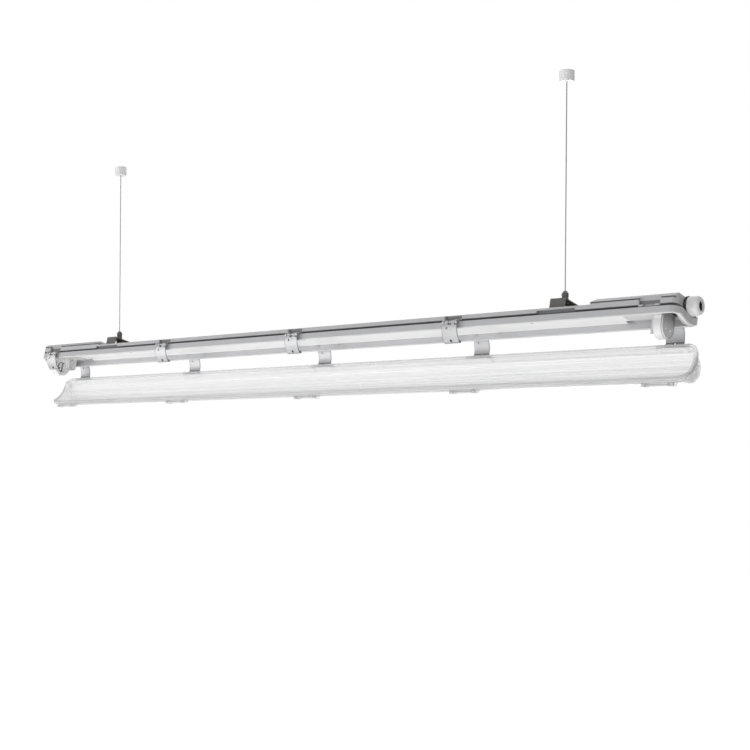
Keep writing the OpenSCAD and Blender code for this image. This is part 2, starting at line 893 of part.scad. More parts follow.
module curl_profile() {
    outer = curl_radius * 2;
    difference() {
        circle(curl_radius);
        circle(bar_radius + running_gap);
        polygon([[0, 0], [outer * cos(curl_open_start), outer * sin(curl_open_start)],
            [outer, outer], [outer * cos(curl_open_end), outer * sin(curl_open_end)]]);
    }
}

// A clip with its upper axis at the origin
module clip() {
    knuckle_width = knuckle_outer - knuckle_inner;
    corner = clip_width * half - knuckle_outer;
    difference() {
        union() {
            difference() {
                along(clip_width) clip_face();
                cube([knuckle_inner * 2, knuckle_radius * 3, notch_drop * 2], center = true);
                for (end = [-1, 1]) translate([end * (knuckle_outer + corner), 0, 0])
                    cube([corner * 2, knuckle_radius * 3, (link_disc + disc_gap) * 2], center = true);
                translate([0, 0, -clip_reach]) along(clip_width + overrun) circle(bar_radius + running_gap);
                along(clip_width + overrun) circle(pin_radius + running_gap);
            }
            for (end = [-1, 1]) translate([end * (knuckle_inner + knuckle_width * half), 0, 0])
                along(knuckle_width) difference() {
                    circle(knuckle_radius);
                    circle(pin_radius + running_gap);
                }
            translate([0, 0, -clip_reach]) along(clip_width) curl_profile();
        }
        translate([-upper_hole_side, 0, -upper_hole_drop]) rotate([right_angle, 0, 0])
            cylinder(h = clip_width, r = upper_hole, center = true);
        translate([0, 0, -lower_hole_drop]) rotate([right_angle, 0, 0])
            cylinder(h = clip_width, r = lower_hole);
    }
}

module near_link(index) {
    color("#d6d6d8") in_fitting() translate([clip_place(index), -pivot_offset, pivot_height]) clip_link();
}

module near_clip(index) {
    color("#dedee2") translate([clip_place(index), near_knuckle[0], near_knuckle[1]])
        rotate([near_clip_lean, 0, 0]) clip();
}

module far_clip(index) {
    color("#dedee2") translate([clip_place(index), far_knuckle[0], far_knuckle[1]])
        rotate([far_clip_lean, 0, 0]) mirror([0, 1, 0]) clip();
}

module far_links() {
    color("#d6d6d8") in_fitting() for (index = [0:clip_count - 1])
        translate([clip_place(index), pivot_offset, pivot_height]) mirror([0, 1, 0]) clip_link();
}

// Cover, drawn closed, with the sealing face at Z = 0

// The outline of the trough, as a round bottom with straight sides up past the rim
module trough_profile(radius) {
    translate([0, -trough_drop]) circle(radius);
    translate([-radius, -trough_drop]) square([radius * 2, trough_drop + overrun]);
}

// The inside outline with its prisms
module prism_profile() {
    polygon([for (i = [0:prism_count * 2])
        let (angle = full_turn * half * i / (prism_count * 2),
            radius = trough_inner + (i % 2 == 0 ? 0 : prism_depth))
        [radius * cos(angle), -radius * sin(angle) - trough_drop]]);
}

module cover_rim_ring() {
    intersection() {
        along(cover_length) dip_band(-cover_rim, 0);
        difference() {
            bowed_block(cover_length, cover_width, 0, -cover_depth, overrun);
            bowed_block(cover_length, cover_width, cover_rim_width, -cover_depth - overrun, overrun * 2);
        }
    }
}

module cover_trough() {
    end_inset = cover_rim_width - cover_wall;
    intersection() {
        along(cover_length) dip_band(-cover_depth, 0);
        difference() {
            intersection() {
                along(cover_length) trough_profile(trough_radius);
                bowed_block(cover_length, cover_width, end_inset, -cover_depth - overrun, overrun);
            }
            intersection() {
                along(cover_length) trough_profile(trough_inner);
                bowed_block(cover_length, cover_width, cover_rim_width, -cover_depth - overrun, overrun * 2);
            }
            along(cover_length - plain_end * 2) prism_profile();
        }
    }
}

// Two lugs with the bar that an open clip holds, and the ledge that a shut clip catches
module clip_bar(side) {
    pad = lug_side - trough_inner;
    translate([0, side * bar_offset, -bar_depth]) along((lug_inner + lug_radius) * 2) circle(bar_radius);
    difference() {
        scale([1, side, 1]) union() {
            for (end = [-1, 1]) translate([end * (lug_inner + lug_outer) * half, 0, 0])
                along(lug_outer - lug_inner) {
                    translate([trough_inner, -lug_depth]) square([pad, lug_depth - cover_rim * half]);
                    translate([bar_offset, -bar_depth]) circle(lug_radius);
                    translate([lug_side - overrun, -bar_depth - lug_radius])
                        square([bar_offset - lug_side + overrun, lug_radius * 2]);
                }
            along(lug_inner * 2 + overrun) translate([trough_inner, -ledge_depth])
                square([pad, ledge_depth - cover_rim * half]);
        }
        along(lug_outer * 2 + overrun) trough_profile(trough_radius - cover_wall * half);
    }
}

// The tongue that presses into the canopy's seal
module cover_tongue_ring() {
    inset = cover_width * half - seal_middle - cover_tongue * half;
    reach = rim_half + overrun;
    intersection() {
        along(cover_length) dip_band(-cover_rim * half, cover_tongue_rise);
        difference() {
            bowed_block(cover_length, cover_width, inset, -rim_half, rim_half);
            bowed_block(cover_length, cover_width, inset + cover_tongue, -reach, reach);
        }
    }
}

module cover() {
    color("#eef2f4", half) in_cover() {
        cover_rim_ring();
        cover_trough();
        cover_tongue_ring();
        for (index = [0:clip_count - 1], side = [-1, 1])
            translate([clip_place(index), 0, 0]) clip_bar(side);
    }
}

// Suspension

// Across the fitting: a flat top, two legs through the roof and a toe under it on each leg
module bracket_profile() {
    inner = bracket_shoulder - bracket_sheet;
    outer_toe = bracket_shoulder + bracket_toe;
    toe_top = bracket_leg_bottom + bracket_sheet;
    polygon(mirrored([[0, bracket_height], [bracket_shoulder, bracket_height], [bracket_shoulder, toe_top],
        [outer_toe, toe_top - bracket_toe * half], [outer_toe, bracket_leg_bottom - bracket_toe * half],
        [inner, bracket_leg_bottom], [inner, bracket_height - bracket_sheet],
        [0, bracket_height - bracket_sheet]]));
}

module suspension_bracket(side) {
    color("#4c4a48") in_fitting() translate([side * wire_spacing * half, 0, 0]) difference() {
        along(bracket_width) bracket_profile();
        translate([0, 0, tilt_axis]) cylinder(h = bracket_height, r = socket_radius);
    }
}

module at_wire(side) {
    translate([side * wire_spacing * half, 0, -wire_drop]) children();
}

module gripper(side) {
    top = gripper_start + gripper_length;
    color("#45423f") at_wire(side) difference() {
        union() {
            sphere(ball_radius);
            cylinder(h = gripper_start + overrun, r = stem_radius);
            translate([0, 0, gripper_start])
                cylinder(h = gripper_length - gripper_chamfer, r = gripper_radius);
            translate([0, 0, top - gripper_chamfer])
                cylinder(h = gripper_chamfer, r1 = gripper_radius, r2 = gripper_radius - gripper_chamfer);
        }
        translate([0, 0, gripper_start]) cylinder(h = gripper_length + overrun, r = wire_radius);
        translate([0, 0, top - collar_sink - collar_sink]) cylinder(h = collar_sink * 2 + overrun,
            r = collar_radius + running_gap);
    }
}

module release_collar(side) {
    top = gripper_start + gripper_length;
    color("#5a5754") at_wire(side) translate([0, 0, top - collar_sink]) difference() {
        cylinder(h = collar_length, r = collar_radius);
        translate([0, 0, -overrun]) cylinder(h = collar_length + overrun * 2, r = wire_radius + wire_gap);
    }
}

module wire(side) {
    start = gripper_start + overrun;
    color("#8c8c8e") at_wire(side) translate([0, 0, start])
        cylinder(h = wire_drop - cup_height + cup_wall - start, r = wire_radius);
}

module wire_stop(side) {
    color("#b0b0b2") translate([side * wire_spacing * half, 0, -cup_height + cup_wall])
        cylinder(h = stop_length, r = stop_radius);
}

module ceiling_cup(side) {
    color("#e4e4e4") translate([side * wire_spacing * half, 0, -cup_height]) difference() {
        cylinder(h = cup_height, r = cup_radius);
        translate([0, 0, cup_wall]) cylinder(h = cup_height, r = cup_radius - cup_wall);
        translate([0, 0, -overrun]) cylinder(h = cup_height, r = wire_radius);
    }
}

module ceiling_base(side) {
    sink = base_height * half;
    color("#c4c4c6") translate([side * wire_spacing * half, 0, -base_height]) difference() {
        cylinder(h = base_height, r = cup_radius - cup_wall);
        translate([0, 0, -overrun]) cylinder(h = base_height + overrun * 2, r = base_hole);
        translate([0, 0, -overrun]) cylinder(h = sink + overrun, r1 = base_radius * half + overrun,
            r2 = base_hole);
    }
}

canopy();
seal();
gear_tray();
tray_screws();
terminal_block();
terminal_clamps();
lead_live();
lead_neutral();
lampholder_left();
lampholder_right();
rotor_left();
rotor_right();
contacts_left();
contacts_right();
holder_cap_left();
holder_cap_right();
holder_foot_left();
holder_foot_right();
gland_body();
gland_washer();
gland_locknut();
gland_seal();
gland_cap();
clip_brackets();
near_link(0);  // near_link_1
near_link(1);  // near_link_2
near_link(2);  // near_link_3
near_link(3);  // near_link_4
near_clip(0);  // near_clip_1
near_clip(1);  // near_clip_2
near_clip(2);  // near_clip_3
near_clip(3);  // near_clip_4
far_links();
far_clip(0);  // far_clip_1
far_clip(1);  // far_clip_2
far_clip(2);  // far_clip_3
far_clip(3);  // far_clip_4
far_clip(4);  // far_clip_5
cover();
suspension_bracket(-1);  // suspension_bracket_left
suspension_bracket(1);  // suspension_bracket_right
gripper(-1);  // gripper_left
gripper(1);  // gripper_right
release_collar(-1);  // release_collar_left
release_collar(1);  // release_collar_right
wire(-1);  // wire_left
wire(1);  // wire_right
wire_stop(-1);  // wire_stop_left
wire_stop(1);  // wire_stop_right
ceiling_cup(-1);  // ceiling_cup_left
ceiling_cup(1);  // ceiling_cup_right
ceiling_base(-1);  // ceiling_base_left
ceiling_base(1);  // ceiling_base_right
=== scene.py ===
"""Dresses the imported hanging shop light: wires, clear cover, canopy, tray, lamp holders and clips."""
import json
import logging
import math
from dataclasses import dataclass
from enum import Enum
from typing import Any, Sequence

import bmesh
import bpy
from mathutils import Matrix, Vector


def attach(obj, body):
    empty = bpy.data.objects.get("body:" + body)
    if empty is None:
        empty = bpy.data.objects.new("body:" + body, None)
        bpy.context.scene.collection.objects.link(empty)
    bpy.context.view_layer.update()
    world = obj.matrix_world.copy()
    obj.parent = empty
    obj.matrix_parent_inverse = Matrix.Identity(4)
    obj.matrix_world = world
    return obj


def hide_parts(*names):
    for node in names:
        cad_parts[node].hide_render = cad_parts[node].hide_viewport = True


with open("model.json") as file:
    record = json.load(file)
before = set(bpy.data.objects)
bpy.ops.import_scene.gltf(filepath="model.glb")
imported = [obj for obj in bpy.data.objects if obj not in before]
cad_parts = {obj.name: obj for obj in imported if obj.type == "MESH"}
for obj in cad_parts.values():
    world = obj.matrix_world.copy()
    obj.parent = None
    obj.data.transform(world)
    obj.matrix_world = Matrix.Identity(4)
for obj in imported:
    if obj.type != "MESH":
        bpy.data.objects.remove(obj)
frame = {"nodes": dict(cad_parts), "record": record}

LOG = logging.getLogger("shop_light")
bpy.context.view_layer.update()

# Sizes in metres: the fitting's tilt, its axis under the ceiling and over its sealing face, clips and wires
TILT = math.radians(13.0)
AXIS_DROP = 0.306
AXIS_HEIGHT = 0.02793
CLIP_PITCH = 0.297
HALF_PITCH = CLIP_PITCH / 2
WIRE_SIDE = 0.454
ROTOR_DEPTH = 0.0085

# Sockets of Blender's Mix node for colours
MIX_FIRST = 6
MIX_SECOND = 7
MIX_RESULT = 2

Colour = tuple[float, float, float, float]
Pair = tuple[float, float]
Triple = tuple[float, float, float]
WHITE: Colour = (1.0, 1.0, 1.0, 1.0)


def grey(level: float, blue: float = 0.0) -> Colour:
    """Return an opaque grey of the given sRGB level, a little bluer by the given amount."""
    return srgb(level, level, min(1.0, level + blue))


def srgb(red: float, green: float, blue: float) -> Colour:
    """Turn an sRGB colour into the linear colour that Blender takes.

    Args:
        red: sRGB red from 0 to 1.
        green: sRGB green from 0 to 1.
        blue: sRGB blue from 0 to 1.

    Returns:
        The linear colour with full alpha.
    """
    def linear(value: float) -> float:
        """Return one linear channel."""
        return value / 12.92 if value <= 0.04045 else ((value + 0.055) / 1.055) ** 2.4

    return (linear(red), linear(green), linear(blue), 1.0)


def darker(colour: Colour, share: float) -> Colour:
    """Return a colour with its three channels times a share."""
    return tuple(channel * share for channel in colour[:3]) + (1.0,)


# Materials

class Value:
    """A shader socket that can be used in Python expressions."""

    def __init__(self, sheet: "Sheet", socket: bpy.types.NodeSocket) -> None:
        """Keep the socket and the sheet of nodes that it belongs to."""
        self.sheet = sheet
        self.socket = socket

    def _maths(self, operation: str, *values: Any) -> "Value":
        """Add a Math node of the given operation on the given values."""
        return self.sheet.node("ShaderNodeMath", {"operation": operation}, dict(enumerate(values)))

    def __add__(self, other: Any) -> "Value":
        """Return the sum."""
        return self._maths("ADD", self, other)

    __radd__ = __add__

    def __sub__(self, other: Any) -> "Value":
        """Return the difference."""
        return self._maths("SUBTRACT", self, other)

    def __rsub__(self, other: Any) -> "Value":
        """Return the difference from a number."""
        return self._maths("SUBTRACT", other, self)

    def __mul__(self, other: Any) -> "Value":
        """Return the product."""
        return self._maths("MULTIPLY", self, other)

    __rmul__ = __mul__

    def __truediv__(self, other: Any) -> "Value":
        """Return the quotient."""
        return self._maths("DIVIDE", self, other)

    def above(self, other: Any) -> "Value":
        """Return 1 where this value is greater than the other and 0 elsewhere."""
        return self._maths("GREATER_THAN", self, other)

    def power(self, other: Any) -> "Value":
        """Return this value raised to a power."""
        return self._maths("POWER", self, other)

    def sine(self) -> "Value":
        """Return the sine."""
        return self._maths("SINE", self)

    def least(self, other: Any) -> "Value":
        """Return the smaller of two values."""
        return self._maths("MINIMUM", self, other)

    def most(self, other: Any) -> "Value":
        """Return the greater of two values."""
        return self._maths("MAXIMUM", self, other)

    def fold(self, half_pitch: float) -> "Value":
        """Return the distance from the nearest multiple of twice the half pitch."""
        return self._maths("PINGPONG", self, half_pitch)

    def angle_to(self, other: Any) -> "Value":
        """Return the angle of the point with this value across and the other one along."""
        return self._maths("ARCTAN2", self, other)

    def rise(self, low: float, high: float) -> "Value":
        """Return a smooth step from 0 at the low value to 1 at the high one."""
        return self.sheet.node("ShaderNodeMapRange", {"interpolation_type": "SMOOTHSTEP"},
                               {"Value": self, "From Min": low, "From Max": high})

    def band(self, low: float, high: float, edge: float) -> "Value":
        """Return 1 between two values and 0 outside, with soft edges outside them."""
        return self.rise(low - edge, low) * (1.0 - self.rise(high, high + edge))

    def reach(self, other: "Value") -> "Value":
        """Return the length of the vector of this value and another."""
        return (self * self + other * other).power(0.5)

    def size(self) -> "Value":
        """Return the absolute value."""
        return self._maths("ABSOLUTE", self)

    def clamped(self) -> "Value":
        """Return the value kept between 0 and 1."""
        return self.sheet.node("ShaderNodeClamp", {}, {0: self})


class Sheet:
    """The node tree of one material."""

    def __init__(self, name: str) -> None:
        """Make an empty node material of that name."""
        self.material = bpy.data.materials.new(name)
        self.material.use_nodes = True
        self.tree = self.material.node_tree
        self.tree.nodes.clear()
        self.output = self.tree.nodes.new("ShaderNodeOutputMaterial")

    def node(self, kind: str, settings: dict[str, Any], sockets: dict[Any, Any], out: Any = 0) -> Value:
        """Add a node.

        Args:
            kind: Blender's type of the node.
            settings: the node's own settings, set first.
            sockets: values or links for its inputs, by number or name.
            out: number or name of the output that is wanted.

        Returns:
            The wanted output, wrapped.
        """
        made = self.tree.nodes.new(kind)
        for key, setting in settings.items():
            setattr(made, key, setting)
        for key, value in sockets.items():
            if isinstance(value, Value):
                self.tree.links.new(value.socket, made.inputs[key])
            else:
                made.inputs[key].default_value = value
        return Value(self, made.outputs[out])

    def place(self, scale: Triple = (1.0, 1.0, 1.0)) -> Value:
        """Return Object coordinates in metres, scaled."""
        raw = self.node("ShaderNodeTexCoord", {}, {}, "Object")
        return self.node("ShaderNodeMapping", {}, {"Vector": raw, "Scale": scale})

    def turned(self, shift: Triple, turn: float) -> tuple[Value, Value, Value]:
        """Return the three Object coordinates after a turn about X and then a shift."""
        raw = self.node("ShaderNodeTexCoord", {}, {}, "Object")
        return self.split(self.node("ShaderNodeMapping", {}, {"Vector": raw, "Location": shift,
                                                              "Rotation": (turn, 0.0, 0.0)}))

    def fitting_place(self) -> tuple[Value, Value, Value]:
        """Return Object coordinates in the fitting's own frame, level with its sealing face."""
        return self.turned((0.0, -AXIS_DROP * math.sin(TILT), AXIS_DROP * math.cos(TILT) + AXIS_HEIGHT), TILT)

    def join(self, x: Any, y: Any, z: Any) -> Value:
        """Return a vector of three values."""
        return self.node("ShaderNodeCombineXYZ", {}, {0: x, 1: y, 2: z})

    def split(self, vector: Value) -> tuple[Value, Value, Value]:
        """Return the three parts of a vector."""
        made = self.tree.nodes.new("ShaderNodeSeparateXYZ")
        self.tree.links.new(vector.socket, made.inputs[0])
        return tuple(Value(self, made.outputs[i]) for i in range(3))

    def noise(self, scale: float, detail: float, where: Value | None = None) -> Value:
        """Return a noise from 0 to 1 of that many cycles a metre."""
        where = where or self.place()
        return self.node("ShaderNodeTexNoise", {}, {"Vector": where, "Scale": scale, "Detail": detail})

    def mix(self, factor: Any, first: Any, second: Any) -> Value:
        """Return a blend of two colours."""
        made = self.tree.nodes.new("ShaderNodeMix")
        made.data_type = "RGBA"
        for key, value in ((0, factor), (MIX_FIRST, first), (MIX_SECOND, second)):
            if isinstance(value, Value):
                self.tree.links.new(value.socket, made.inputs[key])
            else:
                made.inputs[key].default_value = value
        return Value(self, made.outputs[MIX_RESULT])

    def bump(self, height: Value, strength: float, distance: float) -> Value:
        """Return a normal bumped by the height."""
        return self.node("ShaderNodeBump", {}, {"Height": height, "Strength": strength, "Distance": distance})

    def principled(self, **sockets: Any) -> Value:
        """Return a Principled shader; names use underscores for spaces."""
        named = {key.replace("_", " "): value for key, value in sockets.items()}
        return self.node("ShaderNodeBsdfPrincipled", {}, named)

    def finish(self, shader: Value) -> bpy.types.Material:
        """Send the shader to the output and return the material."""
        self.tree.links.new(shader.socket, self.output.inputs["Surface"])
        return self.material


@dataclass(frozen=True)
class Moulded:
    """Moulded plastic with a fine grain and faint flow shading."""

    name: str
    colour: Colour
    rough: float = 0.45
    grain: float = 0.05
    shade: float = 0.06
    spread: float = 0.12
    broad_scale: float = 9.0
    fine_scale: float = 1900.0

    def build(self) -> bpy.types.Material:
        """Make the material."""
        sheet = Sheet(self.name)
        broad = sheet.noise(self.broad_scale, 2.0)
        fine = sheet.noise(self.fine_scale, 2.0)
        dark = darker(self.colour, 1 - self.shade)
        colour = sheet.mix(broad, self.colour, dark)
        rough = fine * self.spread + (self.rough - self.spread / 2)
        return sheet.finish(sheet.principled(Base_Color=colour, Roughness=rough,
                                             Normal=sheet.bump(fine, self.grain, 0.0004)))


@dataclass(frozen=True)
class CanopyPlastic:
    """Moulded grey plastic, with painted shade in its groove, seams and recesses."""

    name: str
    colour: Colour
    groove: Pair = (0.0080, 0.0112)
    groove_side: float = 0.0252
    groove_end: float = 0.6275
    seam: Pair = (0.0184, 0.0198)
    seam_side: float = 0.027
    hollow: Pair = (0.0098, 0.0172)
    hollow_side: float = 0.0255
    windows: Pair = (0.46, -0.448)
    window_half: float = 0.029
    recess_half: float = 0.016
    floor_side: float = 0.0272
    edge: float = 0.0004
    shades: Triple = (0.95, 0.9, 0.72)
    worn_share: float = 0.88
    dark_share: float = 0.12
    flow_scale: Triple = (4.0, 160.0, 160.0)

    def build(self) -> bpy.types.Material:
        """Make the material."""
        sheet = Sheet(self.name)
        x, y, z = sheet.fitting_place()
        side = y.size()
        outside = side.above(self.groove_side).most(x.size().above(self.groove_end))
        # Painted shade: the groove, the seams and the recesses are darkened where shade falls in them.
        groove = z.band(*self.groove, self.edge) * outside
        seam = z.band(*self.seam, self.edge) * side.above(self.seam_side)
        recess = 1.0 - x.fold(HALF_PITCH).rise(self.recess_half, self.recess_half + self.edge)
        off_window = (x - self.windows[0]).size().least((x - self.windows[1]).size())
        window = 1.0 - off_window.rise(self.window_half, self.window_half + self.edge)
        low = z.above(self.hollow[0]) * (1.0 - z.above(self.hollow[1])) * (1.0 - side.above(self.floor_side))
        hollow = recess.most(window) * low * side.above(self.hollow_side)
        shade = (groove * self.shades[0]).most(seam * self.shades[1]).most(hollow * self.shades[2])
        broad = sheet.noise(7.0, 2.0)
        flow = sheet.noise(1.0, 3.0, sheet.place(self.flow_scale))
        fine = sheet.noise(1700.0, 2.0)
        worn = darker(self.colour, self.worn_share)
        plain = sheet.mix((broad * 0.6 + flow * 0.4).clamped(), self.colour, worn)
        colour = sheet.mix(shade, plain, darker(self.colour, self.dark_share))
        return sheet.finish(sheet.principled(Base_Color=colour, Roughness=fine * 0.12 + flow * 0.08 + 0.36,
                                             Normal=sheet.bump(fine, 0.06, 0.0004)))


@dataclass(frozen=True)
class SheetSteel:
    """Rolled steel sheet with a fine grain along the roll."""

    name: str
    colour: Colour
    rough: float = 0.32
    streak: float = 0.1
    metal: float = 1.0
    worn_share: float = 0.86
    roll_scale: Triple = (60.0, 2600.0, 2600.0)

    def build(self) -> bpy.types.Material:
        """Make the material."""
        sheet = Sheet(self.name)
        grain = sheet.noise(1.0, 4.0, sheet.place(self.roll_scale))
        cloud = sheet.noise(30.0, 3.0)
        colour = sheet.mix(cloud, self.colour, darker(self.colour, self.worn_share))
        rough = grain * self.streak * 2 + (self.rough - self.streak)
        return sheet.finish(sheet.principled(Base_Color=colour, Metallic=self.metal, Roughness=rough,
                                             Normal=sheet.bump(grain, 0.08, 0.0002)))


@dataclass(frozen=True)
class ClipSteel:
    """Polished spring steel, with painted shade at its cut edges, in its holes, along its bend and along its
    rolled ends.
    """

    name: str
    colour: Colour
    metal: float = 0.5
    half_width: float = 0.01275
    near_axis: Triple = (-0.0386, -0.319385, 11.0)
    far_axis: Triple = (0.028826, -0.334952, 5.0)
    upper_hole: Pair = (-0.0045, 0.0075)
    upper_radius: float = 0.0016
    lower_hole: Pair = (0.0, 0.025)
    lower_radius: float = 0.0021
    hole_edge: float = 0.0002
    cut_edge: Pair = (0.0011, 0.0001)
    knuckle_end: float = 0.001
    bend: Pair = (0.0229, 0.0238)
    bend_edge: float = 0.0005
    curl: Pair = (0.0262, 0.0285)
    shades: Triple = (0.97, 0.6, 0.5)
    bend_shade: float = 1.4
    worn_share: float = 0.84
    dark_share: float = 0.08
    grain_scale: Triple = (2400.0, 90.0, 90.0)

    def below(self, y: Value, z: Value, axis: Triple) -> Value:
        """Return how far a point lies under a clip's upper axis, along the clip."""
        lean = math.radians(axis[2])
        return (y - axis[0]) * math.sin(lean) - (z - axis[1]) * math.cos(lean)

    def hole(self, x: Value, drop: Value, place: Pair, radius: float) -> Value:
        """Return 1 in a round hole at a place on every clip."""
        across = (x - place[0]).fold(HALF_PITCH)
        return 1.0 - across.reach(drop - place[1]).rise(radius - self.hole_edge, radius + self.hole_edge)

    def build(self) -> bpy.types.Material:
        """Make the material."""
        sheet = Sheet(self.name)
        x, y, z = sheet.split(sheet.place())
        near = 1.0 - y.above(0.0)
        drop = near * self.below(y, z, self.near_axis) + (1.0 - near) * self.below(y, z, self.far_axis)
        # Painted shade in the holes, at the cut edges, along the far clips' bend and in the rolled curl.
        dots = self.hole(x, drop, self.upper_hole, self.upper_radius).most(
            self.hole(x, drop, self.lower_hole, self.lower_radius))
        side = x.fold(HALF_PITCH)
        cut = side.rise(self.half_width - self.cut_edge[0], self.half_width - self.cut_edge[1])
        cut = cut * drop.above(self.knuckle_end)
        bend = drop.band(*self.bend, self.bend_edge) * (1.0 - near)
        curl = drop.rise(*self.curl).most(bend * self.bend_shade)
        grain = sheet.noise(1.0, 3.0, sheet.place(self.grain_scale))
        cloud = sheet.noise(60.0, 3.0)
        worn = darker(self.colour, self.worn_share)
        shade = (dots * self.shades[0]).most(cut * self.shades[1]).most(curl * self.shades[2])
        colour = sheet.mix(shade, sheet.mix(cloud, self.colour, worn), darker(self.colour, self.dark_share))
        return sheet.finish(sheet.principled(Base_Color=colour, Metallic=self.metal * (1.0 - shade),
                                             Roughness=grain * 0.18 + 0.34,
                                             Normal=sheet.bump(grain, 0.06, 0.0002)))


@dataclass(frozen=True)
class HolderPlastic:
    """White moulded plastic, with painted shade round the rotor, in its slot and along its lower rim."""

    name: str
    colour: Colour
    rotor: float = 0.0078
    ring_edge: Pair = (0.0003, 0.0009)
    slot: Pair = (0.0015, 0.0019)
    slot_end: Pair = (0.0074, 0.0079)
    rim: Pair = (0.0142, 0.0152)
    rim_top: float = -0.002
    shades: Triple = (0.75, 0.8, 0.2)
    worn_share: float = 0.93
    dark_share: float = 0.16

    def build(self) -> bpy.types.Material:
        """Make the material."""
        sheet = Sheet(self.name)
        _, y, z = sheet.fitting_place()
        radius = y.reach(z + ROTOR_DEPTH)
        # Painted shade in the gap round the rotor, in its slot and along the lower rim.
        ring = 1.0 - (radius - self.rotor).size().rise(*self.ring_edge)
        slot = (1.0 - y.size().rise(*self.slot)) * (1.0 - radius.rise(*self.slot_end))
        edge = radius.rise(*self.rim) * (1.0 - z.above(self.rim_top))
        fine = sheet.noise(1500.0, 2.0)
        broad = sheet.noise(40.0, 2.0)
        worn = darker(self.colour, self.worn_share)
        shade = (ring * self.shades[0]).most(slot * self.shades[1]).most(edge * self.shades[2])
        colour = sheet.mix(shade, sheet.mix(broad, self.colour, worn), darker(self.colour, self.dark_share))
        return sheet.finish(sheet.principled(Base_Color=colour, Roughness=fine * 0.1 + 0.24,
                                             Normal=sheet.bump(fine, 0.03, 0.0003)))


@dataclass(frozen=True)
class CapPlastic:
    """Grey plastic of a holder's cap, with pale rivets, painted shade along its far edge and painted shade
    towards its top.
    """

    name: str
    colour: Colour
    rivet: Pair = (0.005, 0.0125)
    rivet_edge: Pair = (0.0012, 0.0015)
    rim: Pair = (0.0126, 0.0136)
    rim_side: Pair = (0.001, 0.006)
    shaded: Pair = (-0.012, 0.006)
    dark_share: float = 0.2

    def build(self) -> bpy.types.Material:
        """Make the material."""
        sheet = Sheet(self.name)
        _, y, z = sheet.fitting_place()
        # Painted shade along the far edge and towards the top of the cap.
        rim = y.reach(z + ROTOR_DEPTH).rise(*self.rim) * y.rise(*self.rim_side)
        top = z.rise(*self.shaded)
        rivet = 1.0 - (y.size() - self.rivet[0]).reach(z + self.rivet[1]).rise(*self.rivet_edge)
        fine = sheet.noise(1400.0, 2.0)
        plain = sheet.mix((top * 0.45 + fine * 0.08).most(rim * 0.75), self.colour,
                          darker(self.colour, self.dark_share))
        return sheet.finish(sheet.principled(Base_Color=sheet.mix(rivet, plain, grey(0.95)),
                                             Roughness=fine * 0.1 + 0.42,
                                             Normal=sheet.bump(fine, 0.06, 0.0003)))


@dataclass(frozen=True)
class GlandPlastic:
    """Moulded plastic of the gland, with painted shade in the gap behind its cap."""

    name: str
    colour: Colour
    gap_end: float = 0.6336
    gap_edge: float = 0.0003
    gap_shade: float = 0.95
    worn_share: float = 0.86
    dark_share: float = 0.07

    def build(self) -> bpy.types.Material:
        """Make the material."""
        sheet = Sheet(self.name)
        x, _, _ = sheet.fitting_place()
        # Painted shade in the gap behind the cap.
        gap = 1.0 - x.rise(self.gap_end, self.gap_end + self.gap_edge)
        fine = sheet.noise(1300.0, 2.0)
        mottle = sheet.noise(170.0, 3.0)
        plain = sheet.mix(mottle, self.colour, darker(self.colour, self.worn_share))
        colour = sheet.mix(gap * self.gap_shade, plain, darker(self.colour, self.dark_share))
        return sheet.finish(sheet.principled(Base_Color=colour, Roughness=fine * 0.12 + 0.34,
                                             Normal=sheet.bump(fine, 0.05, 0.0004)))


@dataclass(frozen=True)
class TrayPaint:
    """White paint of the tray, with the plainer grey coat of the holder feet past its ends."""

    name: str
    colour: Colour
    middle: float = -0.006
    half: float = 0.5485
    edge: float = 0.0004
    worn_share: float = 0.95

    def build(self) -> bpy.types.Material:
        """Make the material."""
        sheet = Sheet(self.name)
        x, _, _ = sheet.fitting_place()
        foot = (x - self.middle).size().rise(self.half, self.half + self.edge)
        peel = sheet.noise(700.0, 2.0)
        dust = sheet.noise(40.0, 4.0)
        plain = sheet.mix(dust, self.colour, darker(self.colour, self.worn_share))
        colour = sheet.mix(foot, plain, grey(0.78))
        return sheet.finish(sheet.principled(Base_Color=colour, Roughness=peel * 0.1 + 0.33,
                                             Normal=sheet.bump(peel, 0.06, 0.0003)))


@dataclass(frozen=True)
class StrandedWire:
    """Bright steel strands laid round each other, with painted shade between the strands."""

    name: str
    colour: Colour
    lay: float = 0.009
    strands: float = 6.0
    dark_share: float = 0.3

    def build(self) -> bpy.types.Material:
        """Make the material."""
        sheet = Sheet(self.name)
        x, y, z = sheet.split(sheet.place())
        around = y.angle_to(x.size() - WIRE_SIDE)
        strand = ((around + z * (2 * math.pi / self.lay)) * self.strands).sine() * 0.5 + 0.5
        # Painted shade in the grooves between the strands.
        colour = sheet.mix(strand, darker(self.colour, self.dark_share), self.colour)
        return sheet.finish(sheet.principled(Base_Color=colour, Metallic=0.6, Roughness=strand * 0.1 + 0.35,
                                             Normal=sheet.bump(strand, 0.6, 0.0002)))


@dataclass(frozen=True)
class Coated:
    """Painted or powder coated metal with a fine orange peel."""

    name: str
    colour: Colour
    rough: float = 0.38
    peel: float = 0.1
    worn_share: float = 0.93

    def build(self) -> bpy.types.Material:
        """Make the material."""
        sheet = Sheet(self.name)
        peel = sheet.noise(700.0, 2.0)
        dust = sheet.noise(40.0, 4.0)
        worn = darker(self.colour, self.worn_share)
        return sheet.finish(sheet.principled(Base_Color=sheet.mix(dust, self.colour, worn),
                                             Roughness=peel * 0.1 + self.rough,
                                             Normal=sheet.bump(peel, self.peel, 0.0003)))


